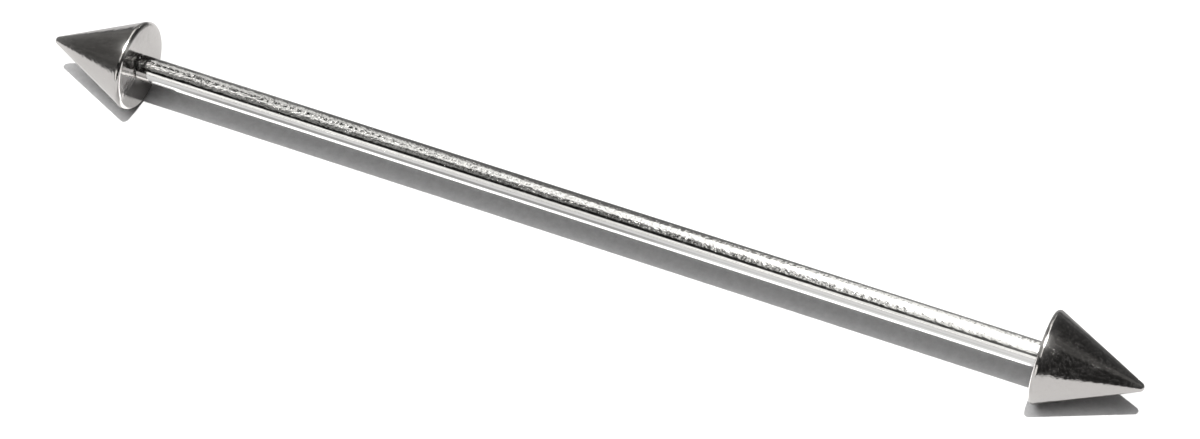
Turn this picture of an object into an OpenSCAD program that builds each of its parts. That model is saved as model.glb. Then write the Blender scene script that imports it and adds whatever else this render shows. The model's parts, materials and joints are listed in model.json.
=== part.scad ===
// Industrial barbell: a straight steel bar for the ear, with a cone screwed on each end.
// It lies on a surface: the bar runs along X, its axis at half a cone's height, and Z = 0 is
// the surface that the rims of the two cones rest on. X = 0 is the middle of the bar.

/* [Bar] */
// Diameter of the plain shaft
shaft_d = 1.2; // [0.9:0.05:2]
// Wearable length, from one cone's flat base to the other's
wear_length = 44.3; // [24:0.1:70]
// Chamfer on each shoulder, where the shaft steps down to its threaded end
shoulder_chamfer = 0.05; // [0.02:0.01:0.05]

/* [Threaded ends] */
// Step down from the shaft's surface to the mean height of the thread
thread_step = 0.18; // [0.16:0.01:0.24]
// Length of each threaded end, past the shoulder
thread_length = 2.4; // [1.2:0.1:2.8]
// Chamfer at the far tip of each threaded end
thread_tip_chamfer = 0.12; // [0.05:0.01:0.2]

/* [Cones] */
// Diameter of a cone's base, over its rounded edge
cone_d = 4.3; // [3.6:0.05:7]
// Height of a cone, from its flat base to its rounded tip
cone_height = 4.55; // [4.2:0.05:8]
// Radius of the rounded tip
tip_radius = 0.22; // [0.1:0.01:0.4]
// Radius of the rounded edge between the flat base and the flank
edge_radius = 0.18; // [0.05:0.01:0.3]

/* [Clearances] */
// Radial gap between the threaded end and the wall of the cone's bore
thread_gap = 0.02; // [0.01:0.01:0.05]
// Gap between the shaft's shoulder and the cone's flat base
seat_gap = 0.03; // [0.02:0.01:0.1]
// Gap between the far tip of the threaded end and the full-width end of the bore
bore_end_gap = 0.15; // [0.05:0.05:0.3]
// Chamfer at the mouth of the cone's bore
mouth_chamfer = 0.08; // [0.02:0.01:0.1]

/* [Hidden] */

// Point angle of the drill that made the bore
drill_angle = 118;
// Flats around each turned surface, and steps in each rounded edge of a cone's outline
turned_sides = 96;
round_steps = 8;

// Bar, measured from the middle of its length
thread_r = shaft_d / 2 - thread_step;
shaft_r = shaft_d / 2;
shoulder_x = wear_length / 2 - seat_gap;
bar_end_x = shoulder_x + thread_length;

// Bore of a cone, measured from its flat base
bore_r = thread_r + thread_gap;
bore_depth = thread_length - seat_gap + bore_end_gap;
drill_point = bore_r / tan(drill_angle / 2);
mouth_r = bore_r + mouth_chamfer;

// Outline of a cone: the flank is the straight line that touches the edge's round and the tip's
axis_height = cone_d / 2;
edge_centre = [cone_d / 2 - edge_radius, edge_radius];
tip_centre = [0, cone_height - tip_radius];
centre_line = tip_centre - edge_centre;
centre_angle = atan2(-centre_line[0], centre_line[1]);
flank_normal = centre_angle + asin((edge_radius - tip_radius) / norm(centre_line));

steel = [0.78, 0.78, 0.79];

// Points of a round from one angle to another, both ends included
function round_points(centre, radius, from, to) = [
    for (i = [0 : round_steps])
        let (a = from + (to - from) * i / round_steps)
        centre + radius * [cos(a), sin(a)]
];

// Half of the bar's outline, from its middle out to one end
function bar_half(side) = [
    [shaft_r, side * (shoulder_x - shoulder_chamfer)],
    [shaft_r - shoulder_chamfer, side * shoulder_x],
    [thread_r, side * shoulder_x],
    [thread_r, side * (bar_end_x - thread_tip_chamfer)],
    [thread_r - thread_tip_chamfer, side * bar_end_x],
    [0, side * bar_end_x]
];

function reversed(points) = [for (i = [len(points) - 1 : -1 : 0]) points[i]];

// Bar turned about Z, with its middle at the origin
module turned_bar() {
    rotate_extrude($fn = turned_sides)
        polygon(concat(reversed(bar_half(-1)), bar_half(1)));
}

// Outer shape of a cone, its flat base on Z = 0 and its tip up
module solid_cone() {
    rotate_extrude($fn = turned_sides)
        polygon(concat(
            [[0, 0]],
            round_points(edge_centre, edge_radius, -90, flank_normal),
            round_points(tip_centre, tip_radius, flank_normal, 90)
        ));
}

// What the drill and the countersink take out of a cone's base
module blind_bore() {
    rotate_extrude($fn = turned_sides)
        polygon([
            [0, -mouth_chamfer],
            [mouth_r + mouth_chamfer, -mouth_chamfer],
            [bore_r, mouth_chamfer],
            [bore_r, bore_depth],
            [0, bore_depth + drill_point]
        ]);
}

// A cone on one end of the bar: side is -1 on the left and 1 on the right
module screwed_cone(side) {
    translate([side * wear_length / 2, 0, axis_height])
        rotate([0, side * 90, 0])
            difference() {
                solid_cone();
                blind_bore();
            }
}

module bar() {
    color(steel)
        translate([0, 0, axis_height])
            rotate([0, 90, 0])
                turned_bar();
}

module left_cone() {
    color(steel)
        screwed_cone(-1);
}

module right_cone() {
    color(steel)
        screwed_cone(1);
}

bar();
left_cone();
right_cone();
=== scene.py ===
"""Industrial barbell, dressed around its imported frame: a polished steel bar with a pointed cone
screwed on each threaded end, lying on a pale surface in soft studio light.

Lengths are in metres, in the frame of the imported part: the bar runs along X, Z = 0 is the
surface that the barbell lies on, and the bar's axis is half a cone's width above it."""

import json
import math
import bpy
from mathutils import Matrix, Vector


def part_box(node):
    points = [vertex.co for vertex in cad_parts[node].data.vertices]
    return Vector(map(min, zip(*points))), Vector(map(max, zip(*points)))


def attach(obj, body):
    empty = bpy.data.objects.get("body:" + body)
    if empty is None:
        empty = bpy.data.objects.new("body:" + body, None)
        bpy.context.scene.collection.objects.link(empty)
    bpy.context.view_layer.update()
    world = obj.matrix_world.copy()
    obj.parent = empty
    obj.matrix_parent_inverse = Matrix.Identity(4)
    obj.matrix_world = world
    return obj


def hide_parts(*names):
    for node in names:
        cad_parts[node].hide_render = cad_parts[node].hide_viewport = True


bl_info = {
    "name": "Industrial Barbell",
    "version": (1, 0, 0),
    "blender": (4, 5, 0),
    "location": "3D View > Sidebar > Barbell",
    "description": "Builds a polished steel barbell with screwed cones, and its studio",
    "category": "Add Mesh",
}

import bpy
from bpy.props import FloatProperty, FloatVectorProperty, IntProperty, PointerProperty
from bpy.types import NodeSocket, Operator, Panel, PropertyGroup
from mathutils import Matrix, Vector

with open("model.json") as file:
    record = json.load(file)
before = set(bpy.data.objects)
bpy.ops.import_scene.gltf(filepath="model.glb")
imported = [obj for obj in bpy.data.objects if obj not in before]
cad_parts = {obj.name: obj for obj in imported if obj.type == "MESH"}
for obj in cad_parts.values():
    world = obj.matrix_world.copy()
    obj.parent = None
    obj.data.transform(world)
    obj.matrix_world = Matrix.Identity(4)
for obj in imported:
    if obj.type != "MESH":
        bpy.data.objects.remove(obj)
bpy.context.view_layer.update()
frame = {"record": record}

MM = 0.001
MICRON = 0.000001

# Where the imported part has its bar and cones
BAR_LOW, BAR_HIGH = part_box("bar")
CONE_LOW, CONE_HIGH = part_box("right_cone")
SHAFT = frame["record"]["mounts"][0]["dims"]
AXIS_HEIGHT = (BAR_LOW.z + BAR_HIGH.z) / 2
SHOULDER_CHAMFER = 0.05 * MM


def length(name, default, description):
    """A length that a user may change, in metres."""
    return FloatProperty(
        name=name,
        description=description,
        default=default,
        min=0,
        precision=6,
        subtype="DISTANCE",
        unit="LENGTH",
    )


def amount(name, default, description, highest=100.0):
    """A plain number that a user may change."""
    return FloatProperty(name=name, description=description, default=default, min=0, max=highest)


def colour(name, default, description):
    """A colour that a user may change."""
    return FloatVectorProperty(
        name=name, description=description, default=default, min=0, max=4, size=3, subtype="COLOR"
    )


def bearing(name, default, description):
    """An angle that a user may change."""
    return FloatProperty(
        name=name,
        description=description,
        default=math.radians(default),
        subtype="ANGLE",
        unit="ROTATION",
    )


# Sizes and colours that a user may change


class BarSizes(PropertyGroup):
    """Sizes of the bar"""

    shaft_radius: length("Shaft radius", SHAFT["r_mm"] * MM, "Radius of the plain shaft")
    shoulder_x: length(
        "Shoulder",
        SHAFT["length_mm"] / 2 * MM + SHOULDER_CHAMFER,
        "Distance of each shoulder from the middle of the bar",
    )
    shoulder_chamfer: length("Shoulder chamfer", SHOULDER_CHAMFER, "Chamfer on each shoulder")
    end_x: length("End", BAR_HIGH.x, "Distance of each threaded tip from the middle of the bar")
    tip_chamfer: length("Tip chamfer", 0.12 * MM, "Chamfer on each threaded tip")
    crest_radius: length("Thread crest", 0.47 * MM, "Outer radius of the outside thread")
    root_radius: length("Thread root", 0.37 * MM, "Inner radius of the outside thread")
    pitch: length("Thread pitch", 0.25 * MM, "Distance from one turn of the thread to the next")
    sides: IntProperty(name="Sides", description="Flats around the bar", default=128, min=16)


class ConeSizes(PropertyGroup):
    """Sizes of both cones"""

    base_radius: length("Base radius", (CONE_HIGH.z - CONE_LOW.z) / 2, "Radius of the base")
    height: length("Height", CONE_HIGH.x - CONE_LOW.x, "From the flat base to the tip")
    base_x: length("Base", CONE_LOW.x, "Distance of each base from the middle of the bar")
    tip_radius: length("Tip radius", 0.22 * MM, "Radius of the rounded tip")
    edge_radius: length("Edge radius", 0.18 * MM, "Radius of the rounded edge of the base")
    mouth_radius: length("Bore mouth", 0.58 * MM, "Radius of the bore's mouth in the base")
    groove_radius: length("Thread groove", 0.56 * MM, "Outer radius of the inside thread")
    land_radius: length("Thread land", 0.48 * MM, "Inner radius of the inside thread")
    bore_depth: length("Bore depth", 2.52 * MM, "Depth of the threaded bore")
    drill_point: length("Drill point", 0.26 * MM, "Depth of the drill's point past the bore")
    sides: IntProperty(name="Sides", description="Flats around a cone", default=160, min=16)


class SteelLook(PropertyGroup):
    """Colours and polish of the steel"""

    bar_colour: colour("Bar steel", (0.70, 0.697, 0.69), "Colour of the bar's steel")
    cone_colour: colour("Cone steel", (0.595, 0.575, 0.562), "Colour of the cones' steel")
    roughness: amount("Roughness", 0.05, "How blurred the polish is", 1.0)
    smudged: amount("Smudged", 0.24, "How blurred the polish is where it was handled", 1.0)
    bar_waves: amount("Bar waves", 14.0, "Height of the bar's polishing waves, in micrometres", 90.0)
    cone_waves: amount("Cone waves", 16.0, "Height of the cones' polishing waves, in micrometres", 30.0)
    cone_smudged: amount("Smudged cones", 0.28, "How blurred the cones are where handled", 1.0)
    haze: amount("Haze", 0.055, "How much of the cones' steel is dulled by dust and handling", 1.0)
    # Painted shade: how bright the steel's colour is painted where it turns out of sight
    painted_rim_shade: amount("Rim shade", 0.25, "Brightness of the steel where it turns out of sight", 1.0)


class StudioLook(PropertyGroup):
    """Floor and lights"""

    floor_colour: colour("Floor", (0.88, 0.88, 0.88), "Colour of the floor")
    fill_colour: colour("Fill light", (0.052, 0.0502, 0.0517), "Soft light from all round")
    side_strength: amount("Side light", 0.17, "Soft light on the floor from high on the left")
    front_strength: amount("Front light", 0.33, "Soft light on the floor from the front left")
    key_strength: amount("Key light", 3.6, "Strength of the light that casts the shadow")
    # Painted shade: a set tone for the floor in the light that the steel throws on it, which dims that
    # light
    bounce: amount("Bounce", 0.30, "Tone of the floor in the light that the steel throws on it", 1.0)
    key_width: bearing("Key width", 0.9, "How wide the key light looks, which softens shadows")
    key_tilt: bearing("Key tilt", 11.5, "Lean of the key light from overhead")
    key_turn: bearing("Key turn", 16.0, "Where the key light leans: 0 is the front, 90 the right")


# Helpers that put nodes in a tree


def feed(tree, socket, value):
    """Sets a socket to a value, or links it to another socket."""
    if isinstance(value, NodeSocket):
        tree.links.new(value, socket)
    else:
        socket.default_value = value


def add(tree, kind, inputs=None, **settings):
    """A new node with its settings and inputs, keyed by name or place."""
    made = tree.nodes.new(kind)
    for name, value in settings.items():
        setattr(made, name, value)
    for key, value in (inputs or {}).items():
        feed(tree, made.inputs[key], value)
    return made


def sums(tree, operation, *values):
    """The result of one Math node."""
    made = add(tree, "ShaderNodeMath", operation=operation)
    for socket, value in zip(made.inputs, values):
        feed(tree, socket, value)
    return made.outputs[0]


def xyz(tree, x, y, z):
    """A vector put together from three values."""
    return add(tree, "ShaderNodeCombineXYZ", {0: x, 1: y, 2: z}).outputs[0]


def parts_of(tree, vector):
    """The three parts of a vector."""
    return add(tree, "ShaderNodeSeparateXYZ", {0: vector}).outputs


def scaled(tree, vector, factor):
    """A vector or colour times one number."""
    return add(
        tree, "ShaderNodeVectorMath", {0: vector, "Scale": factor}, operation="SCALE"
    ).outputs[0]


def stretched(tree, vector, factors):
    """A vector whose three parts are multiplied each by its own number."""
    return add(
        tree, "ShaderNodeVectorMath", {0: vector, 1: factors}, operation="MULTIPLY"
    ).outputs[0]


def noise(tree, place, scale, detail, roughness):
    """The value of a noise pattern, 0.5 on average."""
    inputs = {"Vector": place, "Scale": scale, "Detail": detail, "Roughness": roughness}
    return add(tree, "ShaderNodeTexNoise", inputs).outputs[0]


def mixed(tree, share, first, second):
    """The first colour where the share is 0 and the second where it is 1."""
    inputs = {"Factor": share, 6: first, 7: second}
    return add(tree, "ShaderNodeMix", inputs, data_type="RGBA").outputs[2]


def ramp(tree, value, low, high, to_low=0.0, to_high=1.0, style="SMOOTHSTEP"):
    """A value carried from one range to another, held at the ends."""
    inputs = {
        "Value": value,
        "From Min": low,
        "From Max": high,
        "To Min": to_low,
        "To Max": to_high,
    }
    made = add(tree, "ShaderNodeMapRange", inputs, interpolation_type=style, clamp=True)
    return made.outputs["Result"]


def new_group(name, kind, inputs, outputs):
    """A node group with named sockets, and its two end nodes' sockets by name."""
    tree = bpy.data.node_groups.new(name, kind)
    for label, socket_type, default in inputs:
        made = tree.interface.new_socket(label, in_out="INPUT", socket_type=socket_type)
        if default is not None:
            made.default_value = default
    for label, socket_type in outputs:
        tree.interface.new_socket(label, in_out="OUTPUT", socket_type=socket_type)
    start = tree.nodes.new("NodeGroupInput").outputs
    end = tree.nodes.new("NodeGroupOutput").inputs
    return tree, start, end


def use_group(tree, group, inputs):
    """A node that uses a group, with its inputs fed by name."""
    kind = "ShaderNodeGroup" if group.bl_idname == "ShaderNodeTree" else "GeometryNodeGroup"
    made = tree.nodes.new(kind)
    made.node_tree = group
    for key, value in inputs.items():
        feed(tree, made.inputs[key], value)
    return made


# Shapes: an outline is a row of points, X along the axis, Y the radius and Z a thread's side or 0

REAL = "NodeSocketFloat"
WHOLE = "NodeSocketInt"
SHAPE = "NodeSocketGeometry"
FINISH = "NodeSocketMaterial"

# Points closer to each other than this become one
MERGE_DISTANCE = 1e-7

# Rows of points in the stretches of an outline
ROWS_PER_PITCH = 8
POINT_ROWS = 1
CHAMFER_ROWS = 2
SHAFT_ROWS = 32
FACE_ROWS = 12
EDGE_ROWS = 20
FLANK_ROWS = 32
TIP_ROWS = 16

# Where a thread's root begins and its crest ends, in half pitches from the crest's middle
ROOT_FROM = 0.75
CREST_TO = 0.25


def rows_of_points(tree, count):
    """A line with a number of points, and the number of each point."""
    line = add(tree, "GeometryNodeMeshLine", {"Count": count}).outputs[0]
    return line, tree.nodes.new("GeometryNodeInputIndex").outputs[0]


def moved(tree, shape, x, y, z):
    """A shape with its points put where the three values say."""
    inputs = {"Geometry": shape, "Position": xyz(tree, x, y, z)}
    return add(tree, "GeometryNodeSetPosition", inputs).outputs[0]


def straight_run():
    """A straight stretch of outline. Its rows crowd towards both ends, to keep its shading flat."""
    tree, start, end = new_group(
        "Straight run",
        "GeometryNodeTree",
        [
            ("Start X", REAL, 0.0),
            ("Start Radius", REAL, 0.0),
            ("End X", REAL, 0.0),
            ("End Radius", REAL, 0.0),
            ("Rows", WHOLE, 2),
        ],
        [("Outline", SHAPE)],
    )
    line, index = rows_of_points(tree, start["Rows"])
    last = sums(tree, "SUBTRACT", start["Rows"], 1)
    along = ramp(tree, index, 0.0, last)
    x = ramp(tree, along, 0.0, 1.0, start["Start X"], start["End X"], "LINEAR")
    radius = ramp(tree, along, 0.0, 1.0, start["Start Radius"], start["End Radius"], "LINEAR")
    tree.links.new(moved(tree, line, x, radius, 0.0), end["Outline"])
    return tree


def round_run():
    """A round stretch of outline between two angles of its normal. 0 faces down the axis."""
    tree, start, end = new_group(
        "Round run",
        "GeometryNodeTree",
        [
            ("Centre X", REAL, 0.0),
            ("Centre Radius", REAL, 0.0),
            ("Radius", REAL, 0.0),
            ("From Angle", REAL, 0.0),
            ("To Angle", REAL, 0.0),
            ("Rows", WHOLE, 2),
        ],
        [("Outline", SHAPE)],
    )
    line, index = rows_of_points(tree, start["Rows"])
    last = sums(tree, "SUBTRACT", start["Rows"], 1)
    angle = ramp(tree, index, 0.0, last, start["From Angle"], start["To Angle"], "LINEAR")
    back = sums(tree, "MULTIPLY", start["Radius"], sums(tree, "COSINE", angle))
    out = sums(tree, "MULTIPLY", start["Radius"], sums(tree, "SINE", angle))
    x = sums(tree, "SUBTRACT", start["Centre X"], back)
    radius = sums(tree, "ADD", start["Centre Radius"], out)
    tree.links.new(moved(tree, line, x, radius, 0.0), end["Outline"])
    return tree


def thread_run():
    """Evenly spaced rows along a threaded stretch, one pitch longer than it is."""
    tree, start, end = new_group(
        "Thread run",
        "GeometryNodeTree",
        [
            ("Start X", REAL, 0.0),
            ("End X", REAL, 0.0),
            ("Pitch", REAL, 0.001),
            ("Side", REAL, 1.0),
        ],
        [("Outline", SHAPE)],
    )
    step = sums(tree, "DIVIDE", start["Pitch"], ROWS_PER_PITCH)
    first = sums(tree, "FLOOR", sums(tree, "DIVIDE", start["Start X"], step))
    final = sums(tree, "CEIL", sums(tree, "DIVIDE", start["End X"], step))
    span = sums(tree, "SUBTRACT", final, first)
    count = sums(tree, "ADD", sums(tree, "ABSOLUTE", span), 1)
    line, index = rows_of_points(tree, count)
    signed = sums(tree, "MULTIPLY", index, sums(tree, "SIGN", span))
    row = sums(tree, "ADD", first, signed)
    x = sums(tree, "MULTIPLY", row, step)
    tree.links.new(moved(tree, line, x, 0.0, start["Side"]), end["Outline"])
    return tree


def turn_outline():
    """Turns an outline round its axis, and winds the threaded stretches into a right-hand helix."""
    tree, start, end = new_group(
        "Turn outline",
        "GeometryNodeTree",
        [
            ("Outline", SHAPE, None),
            ("Sides", WHOLE, 64),
            ("Pitch", REAL, 0.001),
            ("Crest Radius", REAL, 0.0),
            ("Root Radius", REAL, 0.0),
            ("Thread Low", REAL, 0.0),
            ("Thread High", REAL, 0.0),
            ("Low Radius", REAL, 0.0),
            ("High Radius", REAL, 0.0),
            ("Base X", REAL, 0.0),
            ("Facing", REAL, 1.0),
            ("Axis Height", REAL, 0.0),
            ("Sharp Angle", REAL, 0.5),
            ("Steel", FINISH, None),
        ],
        [("Piece", SHAPE)],
    )
    rows = add(
        tree, "GeometryNodeAttributeDomainSize", {"Geometry": start["Outline"]}, component="MESH"
    ).outputs["Point Count"]
    columns = sums(tree, "ADD", start["Sides"], 1)
    grid = add(tree, "GeometryNodeMeshGrid", {"Vertices X": columns, "Vertices Y": rows})
    index = tree.nodes.new("GeometryNodeInputIndex").outputs[0]

    # The grid counts its points column by column. The half guards the column's number from rounding
    row = sums(tree, "MODULO", index, rows)
    column = sums(tree, "FLOOR", sums(tree, "DIVIDE", sums(tree, "ADD", index, 0.5), rows))
    share = sums(tree, "DIVIDE", column, start["Sides"])
    angle = sums(tree, "MULTIPLY", share, math.tau)

    place = tree.nodes.new("GeometryNodeInputPosition").outputs[0]
    sample = add(tree, "GeometryNodeSampleIndex", data_type="FLOAT_VECTOR", domain="POINT")
    tree.links.new(start["Outline"], sample.inputs["Geometry"])
    tree.links.new(place, sample.inputs["Value"])
    tree.links.new(row, sample.inputs["Index"])
    plain_x, plain_radius, side = parts_of(tree, sample.outputs[0])

    # The threaded stretch: each row climbs one pitch a turn, and stops at the stretch's ends
    climb = sums(tree, "MULTIPLY", share, start["Pitch"])
    wound = sums(tree, "MULTIPLY", sums(tree, "ADD", plain_x, climb), side)
    below_high = sums(tree, "MINIMUM", wound, start["Thread High"])
    held = sums(tree, "MAXIMUM", below_high, start["Thread Low"])
    thread_x = sums(tree, "MULTIPLY", held, side)
    turns = sums(tree, "DIVIDE", sums(tree, "SUBTRACT", thread_x, climb), start["Pitch"])
    phase = sums(tree, "FRACT", turns)
    off_middle = sums(tree, "ABSOLUTE", sums(tree, "SUBTRACT", phase, 0.5))
    off_crest = sums(tree, "MULTIPLY", off_middle, 2)
    root, crest = start["Root Radius"], start["Crest Radius"]
    lift = ramp(tree, off_crest, ROOT_FROM, CREST_TO, root, crest, "LINEAR")

    # A slope of 45 degrees from each end of the stretch limits the radius
    to_high = sums(tree, "SUBTRACT", start["Thread High"], held)
    to_low = sums(tree, "SUBTRACT", held, start["Thread Low"])
    high_limit = sums(tree, "ADD", start["High Radius"], to_high)
    low_limit = sums(tree, "SUBTRACT", start["Low Radius"], to_low)
    thread_radius = sums(tree, "MAXIMUM", sums(tree, "MINIMUM", lift, high_limit), low_limit)

    threaded = sums(tree, "ABSOLUTE", side)
    x = ramp(tree, threaded, 0.0, 1.0, plain_x, thread_x, "LINEAR")
    radius = ramp(tree, threaded, 0.0, 1.0, plain_radius, thread_radius, "LINEAR")
    along = sums(tree, "MULTIPLY_ADD", x, start["Facing"], start["Base X"])
    across = sums(tree, "MULTIPLY", radius, sums(tree, "COSINE", angle))
    sideways = sums(tree, "MULTIPLY", across, start["Facing"])
    up = sums(tree, "MULTIPLY", radius, sums(tree, "SINE", angle))
    height = sums(tree, "ADD", up, start["Axis Height"])
    turned = moved(tree, grid.outputs["Mesh"], along, sideways, height)
    closed = add(
        tree, "GeometryNodeMergeByDistance", {"Geometry": turned, "Distance": MERGE_DISTANCE}
    )
    smooth = add(tree, "GeometryNodeSetShadeSmooth", {"Geometry": closed.outputs[0]}, domain="FACE")
    corner = tree.nodes.new("GeometryNodeInputMeshEdgeAngle").outputs["Unsigned Angle"]
    is_sharp = add(
        tree, "FunctionNodeCompare", {0: corner, 1: start["Sharp Angle"]}, operation="GREATER_THAN"
    )
    crisp = add(
        tree,
        "GeometryNodeSetShadeSmooth",
        {
            "Geometry": smooth.outputs[0],
            "Selection": is_sharp.outputs[0],
            "Shade Smooth": False,
        },
        domain="EDGE",
    )
    real = add(tree, "GeometryNodeRealizeInstances", {"Geometry": crisp.outputs[0]})
    dressed = add(
        tree,
        "GeometryNodeSetMaterial",
        {"Geometry": real.outputs[0], "Material": start["Steel"]},
    )
    tree.links.new(dressed.outputs[0], end["Piece"])
    return tree


def shape_groups():
    """The groups that both pieces' trees use, built once."""
    makers = {
        "Straight run": straight_run,
        "Round run": round_run,
        "Thread run": thread_run,
        "Turn outline": turn_outline,
    }
    return {name: bpy.data.node_groups.get(name) or make() for name, make in makers.items()}


def joined(tree, runs):
    """The runs as one outline, in their order."""
    join = tree.nodes.new("GeometryNodeJoinGeometry")
    for run in reversed(runs):
        tree.links.new(run.outputs[0], join.inputs[0])
    return join.outputs[0]


def straight(tree, groups, x0, r0, x1, r1, rows):
    """A straight stretch from one point of an outline to another."""
    inputs = {"Start X": x0, "Start Radius": r0, "End X": x1, "End Radius": r1, "Rows": rows}
    return use_group(tree, groups["Straight run"], inputs)


def bar_tree(groups):
    """The bar: a plain shaft with a shoulder and a threaded end on each side."""
    tree, start, end = new_group(
        "Turned bar",
        "GeometryNodeTree",
        [
            ("Shaft Radius", REAL, 0.0),
            ("Shoulder X", REAL, 0.0),
            ("Shoulder Chamfer", REAL, 0.0),
            ("End X", REAL, 0.0),
            ("Tip Chamfer", REAL, 0.0),
            ("Crest Radius", REAL, 0.0),
            ("Root Radius", REAL, 0.0),
            ("Pitch", REAL, 0.001),
            ("Axis Height", REAL, 0.0),
            ("Sides", WHOLE, 64),
            ("Steel", FINISH, None),
        ],
        [("Bar", SHAPE)],
    )
    shaft = start["Shaft Radius"]
    chamfered = sums(tree, "SUBTRACT", shaft, start["Shoulder Chamfer"])
    shaft_x = sums(tree, "SUBTRACT", start["Shoulder X"], start["Shoulder Chamfer"])
    past_end = sums(tree, "ADD", start["End X"], start["Pitch"])
    before = sums(tree, "SUBTRACT", start["Shoulder X"], start["Pitch"])

    def plain(x0, r0, x1, r1, rows):
        return straight(tree, groups, x0, r0, x1, r1, rows)

    def minus(value):
        return sums(tree, "MULTIPLY", value, -1.0)

    def threads(x0, x1, side):
        return use_group(
            tree,
            groups["Thread run"],
            {"Start X": x0, "End X": x1, "Pitch": start["Pitch"], "Side": side},
        )

    left_end, left_shoulder, left_shaft = map(minus, (start["End X"], start["Shoulder X"], shaft_x))
    runs = [
        plain(left_end, 0.0, left_end, 0.0, POINT_ROWS),
        threads(minus(past_end), left_shoulder, -1.0),
        plain(left_shoulder, chamfered, left_shaft, shaft, CHAMFER_ROWS),
        plain(left_shaft, shaft, shaft_x, shaft, SHAFT_ROWS),
        plain(shaft_x, shaft, start["Shoulder X"], chamfered, CHAMFER_ROWS),
        threads(before, start["End X"], 1.0),
        plain(start["End X"], 0.0, start["End X"], 0.0, POINT_ROWS),
    ]
    tip = sums(tree, "SUBTRACT", start["Crest Radius"], start["Tip Chamfer"])
    turned = use_group(
        tree,
        groups["Turn outline"],
        {
            "Outline": joined(tree, runs),
            "Sides": start["Sides"],
            "Pitch": start["Pitch"],
            "Crest Radius": start["Crest Radius"],
            "Root Radius": start["Root Radius"],
            "Thread Low": start["Shoulder X"],
            "Thread High": start["End X"],
            "Low Radius": start["Root Radius"],
            "High Radius": tip,
            "Axis Height": start["Axis Height"],
            "Steel": start["Steel"],
        },
    )
    tree.links.new(turned.outputs[0], end["Bar"])
    return tree


def cone_tree(groups):
    """A cone: threaded blind bore, flat base, rounded edge, straight flank and rounded tip."""
    tree, start, end = new_group(
        "Turned cone",
        "GeometryNodeTree",
        [
            ("Base Radius", REAL, 0.0),
            ("Height", REAL, 0.0),
            ("Base X", REAL, 0.0),
            ("Facing", REAL, 1.0),
            ("Tip Radius", REAL, 0.0),
            ("Edge Radius", REAL, 0.0),
            ("Mouth Radius", REAL, 0.0),
            ("Groove Radius", REAL, 0.0),
            ("Land Radius", REAL, 0.0),
            ("Bore Depth", REAL, 0.0),
            ("Drill Point", REAL, 0.0),
            ("Pitch", REAL, 0.001),
            ("Axis Height", REAL, 0.0),
            ("Sides", WHOLE, 64),
            ("Steel", FINISH, None),
        ],
        [("Cone", SHAPE)],
    )
    edge, tip = start["Edge Radius"], start["Tip Radius"]
    edge_centre = sums(tree, "SUBTRACT", start["Base Radius"], edge)
    tip_centre = sums(tree, "SUBTRACT", start["Height"], tip)

    # The flank is the line that touches both rounds, so its lean comes from their centres
    run_x = sums(tree, "SUBTRACT", tip_centre, edge)
    lean = sums(tree, "ARCTAN2", edge_centre, run_x)
    rise_squared = sums(tree, "POWER", edge_centre, 2.0)
    apart = sums(tree, "SQRT", sums(tree, "MULTIPLY_ADD", run_x, run_x, rise_squared))
    twist = sums(tree, "ARCSINE", sums(tree, "DIVIDE", sums(tree, "SUBTRACT", edge, tip), apart))
    flank = sums(tree, "ADD", sums(tree, "ADD", lean, twist), math.pi / 2)
    back, out = sums(tree, "COSINE", flank), sums(tree, "SINE", flank)
    flank_x0 = sums(tree, "SUBTRACT", edge, sums(tree, "MULTIPLY", edge, back))
    flank_r0 = sums(tree, "MULTIPLY_ADD", edge, out, edge_centre)
    flank_x1 = sums(tree, "SUBTRACT", tip_centre, sums(tree, "MULTIPLY", tip, back))
    flank_r1 = sums(tree, "MULTIPLY", tip, out)

    def plain(x0, r0, x1, r1, rows):
        return straight(tree, groups, x0, r0, x1, r1, rows)

    def rounded(x, radius, size, begin, finish, rows):
        return use_group(
            tree,
            groups["Round run"],
            {
                "Centre X": x,
                "Centre Radius": radius,
                "Radius": size,
                "From Angle": begin,
                "To Angle": finish,
                "Rows": rows,
            },
        )

    bottom = sums(tree, "ADD", start["Bore Depth"], start["Drill Point"])
    past_end = sums(tree, "ADD", start["Bore Depth"], start["Pitch"])
    before = sums(tree, "MULTIPLY", start["Pitch"], -1.0)
    runs = [
        plain(bottom, 0.0, bottom, 0.0, POINT_ROWS),
        use_group(
            tree,
            groups["Thread run"],
            {"Start X": past_end, "End X": before, "Pitch": start["Pitch"]},
        ),
        plain(0.0, start["Mouth Radius"], 0.0, edge_centre, FACE_ROWS),
        rounded(edge, edge_centre, edge, 0.0, flank, EDGE_ROWS),
        plain(flank_x0, flank_r0, flank_x1, flank_r1, FLANK_ROWS),
        rounded(tip_centre, 0.0, tip, flank, math.pi, TIP_ROWS),
    ]
    turned = use_group(
        tree,
        groups["Turn outline"],
        {
            "Outline": joined(tree, runs),
            "Sides": start["Sides"],
            "Pitch": start["Pitch"],
            "Crest Radius": start["Groove Radius"],
            "Root Radius": start["Land Radius"],
            "Thread Low": 0.0,
            "Thread High": start["Bore Depth"],
            "Low Radius": start["Mouth Radius"],
            "High Radius": start["Land Radius"],
            "Base X": start["Base X"],
            "Facing": start["Facing"],
            "Axis Height": start["Axis Height"],
            "Steel": start["Steel"],
        },
    )
    tree.links.new(turned.outputs[0], end["Cone"])
    return tree


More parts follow.
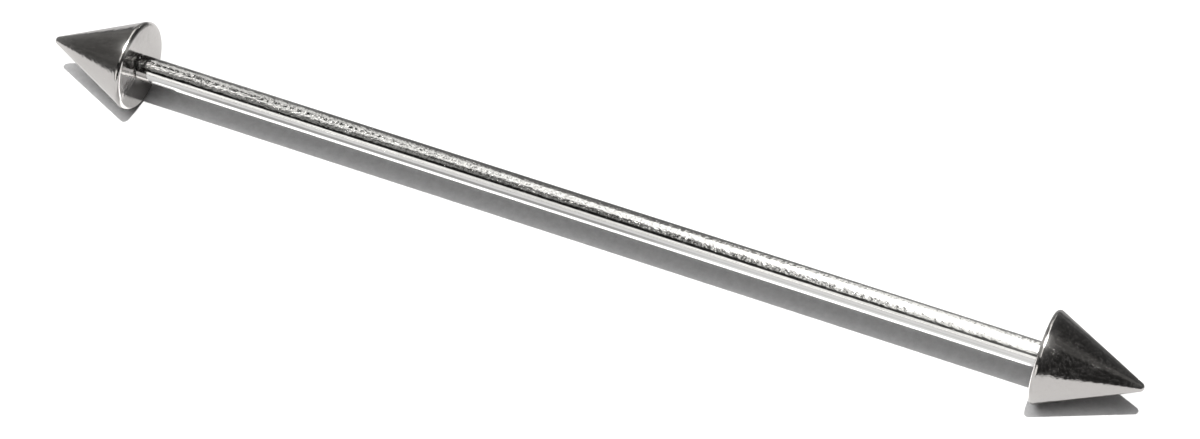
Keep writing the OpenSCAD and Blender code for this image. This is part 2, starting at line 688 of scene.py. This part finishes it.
def made_piece(name, tree, inputs):
    """A plain mesh object from a tree, its inputs set by socket before it is first evaluated."""
    source = bpy.data.objects.new(name + "_source", bpy.data.meshes.new(name + "_source"))
    bpy.context.collection.objects.link(source)
    modifier = source.modifiers.new("Shape", "NODES")
    modifier.node_group = tree
    for item in tree.interface.items_tree:
        if item.item_type == "SOCKET" and item.in_out == "INPUT" and item.name in inputs:
            modifier[item.identifier] = inputs[item.name]
    evaluated = source.evaluated_get(bpy.context.evaluated_depsgraph_get())
    mesh = bpy.data.meshes.new_from_object(evaluated)
    mesh.name = name
    source.modifiers.remove(modifier)
    bpy.data.objects.remove(source)
    if not mesh.polygons:
        raise RuntimeError(f"{name} came out empty")
    piece = bpy.data.objects.new(name, mesh)
    bpy.context.collection.objects.link(piece)
    return piece


# Finishes, on coordinates in millimetres

# Noise patterns as scale, detail and roughness, and the range of each that shows
WAVE_ROUGHNESS = 0.55
SCRATCH_DETAIL = 3.0
SCRATCH_ROUGHNESS = 0.6
SMUDGE_NOISE = (2.4, 5.0, 0.75)
SMUDGE_RANGE = (0.42, 0.74)
HAZE_NOISE = (8.0, 3.0, 0.8)
HAZE_RANGE = (0.45, 0.70)

# Along X: where the bar's waves stop being swollen, and where the painted shade of the rims fades out
SWELL_RANGE = (-15.0, -6.0)
PAINTED_RIM_FADE_RANGE = (7.0, 15.0)
PAINTED_RIM_FADE_LEAST = 0.15

# Heights between which the waves and the painted rim shade of the bar grow from faint to full
UPPER_EDGE = (AXIS_HEIGHT / MM + 0.405, AXIS_HEIGHT / MM + 0.49)

# How the waves and scratches of each finish are drawn out, their sizes, the heights where they and
# the painted rim shade are full, their least share below that, and where the painted rim shade grows.
# On the cones they are full all over.
BAR_MARKS = {
    "drawn_out": (0.5, 1.0, 1.0),
    "along": (0.12, 1.0, 1.0),
    "wave_size": 0.12,
    "fineness": 2.0,
    "scratch_share": 0.06,
    "full_heights": UPPER_EDGE,
    "least": 0.10,
    "swell": 1.7,
    "painted_rim_range": (0.42, 0.74),
}
CONE_MARKS = {
    "drawn_out": (1.0, 1.0, 1.0),
    "along": (1.0, 0.2, 0.2),
    "wave_size": 0.35,
    "fineness": 4.0,
    "scratch_share": 0.1,
    "full_heights": (-1.0, 0.0),
    "least": 1.0,
    "swell": 1.0,
    "painted_rim_range": (0.80, 0.93),
}


def polish_group():
    """The waves, scratches, smudges and haze of hand-polished steel."""
    tree, start, end = new_group(
        "Polish marks",
        "ShaderNodeTree",
        [
            ("Vector", "NodeSocketVector", None),
            ("Wave Size", REAL, 0.3),
            ("Scratch Size", REAL, 0.05),
            ("Scratch Share", REAL, 0.3),
            ("Fineness", REAL, 1.0),
            ("Drawn Out", "NodeSocketVector", (1.0, 1.0, 1.0)),
            ("Along", "NodeSocketVector", (1.0, 1.0, 1.0)),
        ],
        [("Height", REAL), ("Smudge", REAL), ("Haze", REAL)],
    )
    place = start["Vector"]
    drawn = stretched(tree, place, start["Drawn Out"])
    wave_scale = sums(tree, "DIVIDE", 1.0, start["Wave Size"])
    waves = noise(tree, drawn, wave_scale, start["Fineness"], WAVE_ROUGHNESS)
    buffed = stretched(tree, place, start["Along"])
    scratch_scale = sums(tree, "DIVIDE", 1.0, start["Scratch Size"])
    scratches = noise(tree, buffed, scratch_scale, SCRATCH_DETAIL, SCRATCH_ROUGHNESS)
    level_waves = sums(tree, "SUBTRACT", waves, 0.5)
    level_scratches = sums(tree, "SUBTRACT", scratches, 0.5)
    height = sums(tree, "MULTIPLY_ADD", level_scratches, start["Scratch Share"], level_waves)
    tree.links.new(height, end["Height"])
    smudge = noise(tree, place, *SMUDGE_NOISE)
    tree.links.new(ramp(tree, smudge, *SMUDGE_RANGE), end["Smudge"])
    haze = noise(tree, place, *HAZE_NOISE)
    tree.links.new(ramp(tree, haze, *HAZE_RANGE), end["Haze"])
    return tree


def in_millimetres(tree):
    """The piece's own place, measured in millimetres."""
    own = tree.nodes.new("ShaderNodeTexCoord").outputs["Object"]
    return scaled(tree, own, 1 / MM)


def steel(name, tint, look, smudged, waves, marks, haze):
    """Mirror polished steel with waves, scratches, smudges and haze, and painted shade where it turns
    away.

    On the bar the waves and the painted rim shade are full on the upper edge and faint below it,
    the waves swell to the left, and the painted rim shade fades out towards the right."""
    material = bpy.data.materials.new(name)
    material.use_nodes = True
    tree = material.node_tree
    shader = tree.nodes["Principled BSDF"]
    place = in_millimetres(tree)
    polish = use_group(
        tree,
        bpy.data.node_groups.get("Polish marks") or polish_group(),
        {
            "Vector": place,
            "Wave Size": marks["wave_size"],
            "Scratch Share": marks["scratch_share"],
            "Fineness": marks["fineness"],
            "Drawn Out": marks["drawn_out"],
            "Along": marks["along"],
        },
    ).outputs
    x, _, height = parts_of(tree, place)
    full = ramp(tree, height, *marks["full_heights"], marks["least"], 1.0)
    swollen = ramp(tree, x, *SWELL_RANGE, marks["swell"], 1.0)
    share = sums(tree, "MULTIPLY", full, swollen)
    waved = sums(tree, "MULTIPLY", polish["Height"], share)
    bump = add(
        tree, "ShaderNodeBump", {"Strength": 1.0, "Distance": waves * MICRON, "Height": waved}
    )
    rough = ramp(tree, polish["Smudge"], 0.0, 1.0, look.roughness, smudged, "LINEAR")
    # Painted shade: the steel's colour darkens where it turns out of sight, full on the left, faint on
    # the right, and on the bar mostly on its upper edge
    facing = tree.nodes.new("ShaderNodeLayerWeight").outputs["Facing"]
    painted_rim_ramp = ramp(tree, facing, *marks["painted_rim_range"], 0.0, 1.0 - look.painted_rim_shade)
    painted_rim_depth = sums(tree, "MULTIPLY", full, painted_rim_ramp)
    painted_rim_fading = ramp(tree, x, *PAINTED_RIM_FADE_RANGE, 1.0, PAINTED_RIM_FADE_LEAST)
    painted_rim_depth = sums(tree, "MULTIPLY", painted_rim_depth, painted_rim_fading)
    painted_rim_toned = scaled(tree, tuple(tint), sums(tree, "SUBTRACT", 1.0, painted_rim_depth))
    tree.links.new(painted_rim_toned, shader.inputs["Base Color"])
    tree.links.new(bump.outputs[0], shader.inputs["Normal"])
    tree.links.new(rough, shader.inputs["Roughness"])
    shader.inputs["Metallic"].default_value = 1.0

    # Only the hazed finish has a Metallic that changes over the surface
    if haze:
        hazed = ramp(tree, polish["Haze"], 0.0, 1.0, 1.0, 1.0 - haze, "LINEAR")
        tree.links.new(hazed, shader.inputs["Metallic"])
    return material


def patch_group():
    """The tone of a soft-edged patch: its strength inside, and 0 outside."""
    tree, start, end = new_group(
        "Soft patch",
        "ShaderNodeTree",
        [
            ("Across", REAL, 0.0),
            ("Back", REAL, 0.0),
            ("Left Edge", REAL, -1.0),
            ("Right Edge", REAL, 1.0),
            ("Side Softness", REAL, 0.1),
            ("Front Edge", REAL, -1.0),
            ("Back Edge", REAL, 1.0),
            ("Depth Softness", REAL, 0.1),
            ("Strength", REAL, 1.0),
        ],
        [("Tone", REAL)],
    )

    def edge(value, at, softness, rising):
        low = sums(tree, "SUBTRACT", at, softness)
        high = sums(tree, "ADD", at, softness)
        ends = (0.0, 1.0) if rising else (1.0, 0.0)
        return ramp(tree, value, low, high, *ends)

    shares = [
        edge(start["Across"], start["Left Edge"], start["Side Softness"], True),
        edge(start["Across"], start["Right Edge"], start["Side Softness"], False),
        edge(start["Back"], start["Front Edge"], start["Depth Softness"], True),
        edge(start["Back"], start["Back Edge"], start["Depth Softness"], False),
    ]
    tone = start["Strength"]
    for share in shares:
        tone = sums(tree, "MULTIPLY", tone, share)
    tree.links.new(tone, end["Tone"])
    return tree


def patched(tree, across, back, patches, base):
    """The sum of a base and of soft patches."""
    group = bpy.data.node_groups.get("Soft patch") or patch_group()
    total = base
    for left, right, side_soft, front, rear, depth_soft, strength in patches:
        tone = use_group(
            tree,
            group,
            {
                "Across": across,
                "Back": back,
                "Left Edge": left,
                "Right Edge": right,
                "Side Softness": side_soft,
                "Front Edge": front,
                "Back Edge": rear,
                "Depth Softness": depth_soft,
                "Strength": strength,
            },
        ).outputs[0]
        total = sums(tree, "ADD", total, tone)
    return total


# Painted reflection: what the steel mirrors below it, in millimetres, is a pale card with painted
# light, brightest right under the bar, and patches of painted shade
PAINTED_MIRROR_BASE = 0.06
PAINTED_MIRROR_PATCHES = [
    # left, right, side softness, front, back, depth softness, strength
    (-46.0, 60.0, 6.0, -120.0, 25.0, 6.0, 0.58),
    (-20.85, 21.5, 0.15, -1.72, 2.0, 0.45, 0.78),
    (-20.85, 21.5, 0.15, -0.9, 1.8, 0.35, 0.90),
    (-22.2, -20.85, 0.15, -2.2, -1.2, 0.3, 1.00),
    (-22.1, -20.9, 0.1, -0.95, 0.0, 0.2, -0.15),
    (-21.5, 4.0, 3.0, -5.0, -1.9, 0.8, -0.36),
    (4.0, 21.5, 3.0, -5.0, -3.4, 0.8, -0.14),
    (-19.0, 60.0, 1.5, 2.6, 30.0, 0.6, -0.45),
    (-60.0, -27.0, 2.0, 3.0, 40.0, 2.0, -0.22),
    (24.5, 60.0, 1.2, 1.8, 30.0, 0.6, -0.15),
]

# The card's own noise patterns, and the ranges that carry them to tones
GRAIN_NOISE = (2.6, 4.0, 0.7)
GRAIN_RANGE = (0.25, 0.75, 0.84, 1.06)
FLECK_NOISE = (9.0, 2.0, 0.5)
FLECK_RANGE = (0.66, 0.74, 0.0, 0.12)


def in_steel(tree, path):
    """1 for what the camera sees mirrored in the steel, otherwise 0."""
    first = sums(tree, "LESS_THAN", path["Diffuse Depth"], 0.5)
    return sums(tree, "MULTIPLY", path["Is Glossy Ray"], first)


def off_steel(tree, path):
    """1 for what the steel throws on to the floor, otherwise 0."""
    later = sums(tree, "GREATER_THAN", path["Diffuse Depth"], 0.5)
    return sums(tree, "MULTIPLY", path["Is Glossy Ray"], later)


def floor_finish(look):
    """Pale matt card with a fine grain and pale flecks. In the steel it shows a painted reflection of
    soft patches of painted light and shade.
    """
    material = bpy.data.materials.new("pale_card")
    material.use_nodes = True
    tree = material.node_tree
    shader = tree.nodes["Principled BSDF"]
    place = in_millimetres(tree)
    grain = ramp(tree, noise(tree, place, *GRAIN_NOISE), *GRAIN_RANGE, "LINEAR")
    flecks = ramp(tree, noise(tree, place, *FLECK_NOISE), *FLECK_RANGE)
    flecked = sums(tree, "ADD", grain, flecks)
    x, y, _ = parts_of(tree, place)
    # Painted reflection: the tone that the steel mirrors is painted light and painted shade in soft
    # patches
    mirrored = patched(tree, x, y, PAINTED_MIRROR_PATCHES, PAINTED_MIRROR_BASE)
    path = tree.nodes.new("ShaderNodeLightPath").outputs
    tone = ramp(tree, in_steel(tree, path), 0.0, 1.0, flecked, mirrored, "LINEAR")
    # Painted shade: in the light that the steel throws on it, the floor takes the set bounce tone
    tone = ramp(tree, off_steel(tree, path), 0.0, 1.0, tone, look.bounce, "LINEAR")
    tree.links.new(scaled(tree, tuple(look.floor_colour), tone), shader.inputs["Base Color"])
    shader.inputs["Roughness"].default_value = 1.0
    shader.inputs["Specular IOR Level"].default_value = 0.0
    return material


# What the steel mirrors: soft panels and dark walls round the barbell

# Left and right edges are the X part of a direction, and front and back edges its lean from
# overhead in degrees, positive to the back
PANELS = [
    # left, right, side softness, front, back, depth softness, strength
    (-0.335, 0.30, 0.05, -4.5, 15, 5, 1.75),
    (-0.335, -0.05, 0.05, 15, 42, 6, 1.75),
    (-0.208, 0.25, 0.012, -43.5, 15, 4, 1.30),
    (-0.205, -0.12, 0.02, 15, 62, 4, 1.45),
    (-0.205, -0.12, 0.02, 62, 79, 8, 1.45),
    (-0.62, -0.33, 0.03, 38, 62, 6, 1.10),
    (-0.62, -0.33, 0.06, -12, 5, 4, 1.50),
    (-0.62, -0.387, 0.012, -9, 7, 4, 0.70),
    (-0.62, -0.345, 0.03, 8, 27, 4, -0.40),
    (-0.62, -0.29, 0.04, -44, -22, 3, 0.36),
    (-0.29, 0.0, 0.04, -43, -33, 3, 0.10),
    (-0.06, 0.15, 0.05, -15, 8, 6, 60.0),
    (-0.62, 0.10, 0.10, -100, -67, 4, 1.60),
    (-0.62, 0.10, 0.08, -64, -46, 3, -0.055),
    (0.57, 0.72, 0.05, -8, 30, 8, 0.08),
]
MOTTLE_NOISE = (16.0, 3.0, 0.6)
MOTTLE_RANGE = (0.36, 0.60, 0.42, 1.08)
CLUTTER_NOISE = (14.0, 5.0, 0.7)
CLUTTER_RANGE = (0.3, 0.7, 0.3, 1.7)

# Tones of the walls: the left one by the X part of a direction, the back one by its Y part too
LEFT_WALL = (-0.85, -0.45, 0.088, 0.020)
BACK_WALL = (0.2, 0.9, 0.0, 0.09)
BACK_WALL_END = (-0.25, 0.1, 1.0, 0.0)
BLACK = 0.004
ROOM_TINT = (1.0, 0.99, 0.96)
BACKDROP = (0.98, 0.98, 0.98, 1.0)


def mirrored_room(tree):
    """The light that the steel mirrors, by direction."""
    way = tree.nodes.new("ShaderNodeTexCoord").outputs["Generated"]
    across, back, up = parts_of(tree, way)
    tilt = sums(tree, "DEGREES", sums(tree, "ARCTAN2", back, up))
    mottle = ramp(tree, noise(tree, way, *MOTTLE_NOISE), *MOTTLE_RANGE, "LINEAR")
    panels = sums(tree, "MULTIPLY", patched(tree, across, tilt, PANELS, 0.0), mottle)
    left_wall = ramp(tree, across, *LEFT_WALL)
    to_end = ramp(tree, across, *BACK_WALL_END)
    back_wall = sums(tree, "MULTIPLY", ramp(tree, back, *BACK_WALL), to_end)
    clutter = ramp(tree, noise(tree, way, *CLUTTER_NOISE), *CLUTTER_RANGE, "LINEAR")
    walls = sums(tree, "MULTIPLY", sums(tree, "ADD", left_wall, back_wall), clutter)
    return sums(tree, "MAXIMUM", sums(tree, "ADD", panels, walls), BLACK)


def make_world(look):
    """Even fill light on matt surfaces, a pale backdrop, and the room that the steel mirrors."""
    world = bpy.data.worlds.new("studio")
    bpy.context.scene.world = world
    world.use_nodes = True
    world.cycles.sampling_method = "NONE"
    tree = world.node_tree
    background = tree.nodes["Background"]
    room = scaled(tree, ROOM_TINT, mirrored_room(tree))
    path = tree.nodes.new("ShaderNodeLightPath").outputs
    light = mixed(tree, in_steel(tree, path), (*look.fill_colour, 1.0), room)
    seen = mixed(tree, path["Is Camera Ray"], light, BACKDROP)
    tree.links.new(seen, background.inputs["Color"])


# The photograph's camera
CAMERA_PLACE = Vector((39.74, -88.71, 108.505)) * MM
CAMERA_LENS = 96.0
CAMERA_SENSOR = 36.0
CAMERA_REACH = (0.005, 10.0)
CAMERA_FORWARD = Vector((-0.26688, 0.61602, -0.74114))
CAMERA_RIGHT = Vector((0.91759, 0.39753, 0.0))

# Half of the floor's width
FLOOR_HALF = 1.5

# Lights: a soft one's bearing and height are in degrees, and bearing 0 is to the back
SOFT_DISTANCE = 0.6
SOFT_SIZE = 0.34
SIDE_LIGHT = (-90, 66)
FRONT_LIGHT = (-152, 62)
KEY_COLOUR = (1.0, 0.995, 0.985)
BLOOM = {"Threshold": 1.1, "Clamp": True, "Maximum": 400.0, "Strength": 1.0, "Size": 0.04}


def make_camera():
    """A camera at the photograph's place and angle."""
    camera = bpy.data.objects.new("camera", bpy.data.cameras.new("camera"))
    bpy.context.collection.objects.link(camera)
    back = -CAMERA_FORWARD.normalized()
    right = CAMERA_RIGHT.normalized()
    up = back.cross(right)
    turn = Matrix((right, up, back)).transposed()
    camera.matrix_world = Matrix.Translation(CAMERA_PLACE) @ turn.to_4x4()
    camera.data.lens = CAMERA_LENS
    camera.data.sensor_width = CAMERA_SENSOR
    camera.data.clip_start, camera.data.clip_end = CAMERA_REACH
    bpy.context.scene.camera = camera


def make_soft_light(name, strength, where):
    """A soft light on the floor that the steel doesn't mirror."""
    turned, height = map(math.radians, where)
    made = bpy.data.objects.new(name, bpy.data.lights.new(name, "AREA"))
    bpy.context.collection.objects.link(made)
    flat = Vector((math.sin(turned), math.cos(turned), 0.0)) * math.cos(height)
    towards = flat + Vector((0.0, 0.0, math.sin(height)))
    made.rotation_euler = towards.to_track_quat("Z", "Y").to_euler()
    made.location = towards * SOFT_DISTANCE
    made.data.size = SOFT_SIZE
    made.data.energy = strength * math.pi**2 * SOFT_DISTANCE**2 / math.sin(height)
    made.visible_glossy = False


def make_key(look):
    """The small bright light that casts the crisp shadow."""
    key = bpy.data.objects.new("key", bpy.data.lights.new("key", "SUN"))
    bpy.context.collection.objects.link(key)
    aside = Vector((math.sin(look.key_turn), -math.cos(look.key_turn), 0.0))
    towards = Vector((0, 0, math.cos(look.key_tilt))) + aside * math.sin(look.key_tilt)
    key.rotation_euler = towards.to_track_quat("Z", "Y").to_euler()
    key.data.energy = look.key_strength
    key.data.angle = look.key_width
    key.data.color = KEY_COLOUR


def make_bloom():
    """A faint bloom round the brightest glints."""
    scene = bpy.context.scene
    scene.use_nodes = True
    tree = scene.node_tree
    tree.nodes.clear()
    picture = tree.nodes.new("CompositorNodeRLayers")
    glare = tree.nodes.new("CompositorNodeGlare")
    glare.glare_type = "BLOOM"
    glare.quality = "HIGH"
    for name, value in BLOOM.items():
        glare.inputs[name].default_value = value
    shown = tree.nodes.new("CompositorNodeComposite")
    tree.links.new(picture.outputs["Image"], glare.inputs["Image"])
    tree.links.new(glare.outputs["Image"], shown.inputs["Image"])


def make_floor(look):
    """A wide pale floor."""
    s = FLOOR_HALF
    mesh = bpy.data.meshes.new("floor")
    mesh.from_pydata([(-s, -s, 0), (s, -s, 0), (s, s, 0), (-s, s, 0)], [], [(0, 1, 2, 3)])
    mesh.materials.append(floor_finish(look))
    floor = bpy.data.objects.new("floor", mesh)
    bpy.context.collection.objects.link(floor)


# Operators, one for each piece or group of like pieces, and one for the stage


class BARBELL_OT_stage(Operator):
    """Make the floor, the lights and the photograph's camera"""

    bl_idname = "barbell.stage"
    bl_label = "Make Stage"

    def execute(self, context):
        look = context.scene.barbell_studio
        context.scene.view_settings.view_transform = "Standard"
        make_camera()
        make_world(look)
        make_key(look)
        make_soft_light("side", look.side_strength, SIDE_LIGHT)
        make_soft_light("front", look.front_strength, FRONT_LIGHT)
        make_floor(look)
        make_bloom()
        return {"FINISHED"}


class BARBELL_OT_bar(Operator):
    """Make the bar, with its shoulders and threaded ends"""

    bl_idname = "barbell.bar"
    bl_label = "Make Bar"

    def execute(self, context):
        sizes = context.scene.barbell_bar
        look = context.scene.barbell_steel
        finish = steel(
            "bar_steel", look.bar_colour, look, look.smudged, look.bar_waves, BAR_MARKS, haze=0.0
        )
        inputs = {
            "Shaft Radius": sizes.shaft_radius,
            "Shoulder X": sizes.shoulder_x,
            "Shoulder Chamfer": sizes.shoulder_chamfer,
            "End X": sizes.end_x,
            "Tip Chamfer": sizes.tip_chamfer,
            "Crest Radius": sizes.crest_radius,
            "Root Radius": sizes.root_radius,
            "Pitch": sizes.pitch,
            "Axis Height": AXIS_HEIGHT,
            "Sides": sizes.sides,
            "Steel": finish,
        }
        bar = made_piece("polished_bar", bar_tree(shape_groups()), inputs)
        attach(bar, "bar")
        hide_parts("bar")
        return {"FINISHED"}


class BARBELL_OT_cones(Operator):
    """Make the two cones, each with its threaded bore"""

    bl_idname = "barbell.cones"
    bl_label = "Make Cones"

    def execute(self, context):
        sizes = context.scene.barbell_cone
        look = context.scene.barbell_steel
        pitch = context.scene.barbell_bar.pitch
        finish = steel(
            "cone_steel",
            look.cone_colour,
            look,
            look.cone_smudged,
            look.cone_waves,
            CONE_MARKS,
            look.haze,
        )
        tree = cone_tree(shape_groups())
        for side, facing in (("left", -1.0), ("right", 1.0)):
            inputs = {
                "Base Radius": sizes.base_radius,
                "Height": sizes.height,
                "Base X": sizes.base_x * facing,
                "Facing": facing,
                "Tip Radius": sizes.tip_radius,
                "Edge Radius": sizes.edge_radius,
                "Mouth Radius": sizes.mouth_radius,
                "Groove Radius": sizes.groove_radius,
                "Land Radius": sizes.land_radius,
                "Bore Depth": sizes.bore_depth,
                "Drill Point": sizes.drill_point,
                "Pitch": pitch,
                "Axis Height": AXIS_HEIGHT,
                "Sides": sizes.sides,
                "Steel": finish,
            }
            cone = made_piece(f"polished_{side}_cone", tree, inputs)
            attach(cone, f"{side}_cone")
            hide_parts(f"{side}_cone")
        return {"FINISHED"}


class BARBELL_PT_panel(Panel):
    """The barbell's sizes, colours and steps"""

    bl_label = "Industrial Barbell"
    bl_idname = "BARBELL_PT_panel"
    bl_space_type = "VIEW_3D"
    bl_region_type = "UI"
    bl_category = "Barbell"

    def draw(self, context):
        scene = context.scene
        for title, step, groups in (
            ("Stage", "barbell.stage", (scene.barbell_studio,)),
            ("Bar", "barbell.bar", (scene.barbell_bar, scene.barbell_steel)),
            ("Cones", "barbell.cones", (scene.barbell_cone,)),
        ):
            box = self.layout.box()
            box.label(text=title)
            for group in groups:
                for name in group.__annotations__:
                    box.prop(group, name)
            box.operator(step)


CLASSES = (
    BarSizes,
    ConeSizes,
    SteelLook,
    StudioLook,
    BARBELL_OT_stage,
    BARBELL_OT_bar,
    BARBELL_OT_cones,
    BARBELL_PT_panel,
)
GROUPS = {
    "barbell_bar": BarSizes,
    "barbell_cone": ConeSizes,
    "barbell_steel": SteelLook,
    "barbell_studio": StudioLook,
}


def register():
    """Registers the classes and gives the scene their values."""
    for each in CLASSES:
        bpy.utils.register_class(each)
    for name, group in GROUPS.items():
        setattr(bpy.types.Scene, name, PointerProperty(type=group))


def unregister():
    """Takes the values and the classes away again."""
    for name in GROUPS:
        delattr(bpy.types.Scene, name)
    for each in reversed(CLASSES):
        bpy.utils.unregister_class(each)


def main():
    register()
    bpy.ops.barbell.stage()
    bpy.ops.barbell.bar()
    bpy.ops.barbell.cones()


if __name__ == "__main__":
    main()
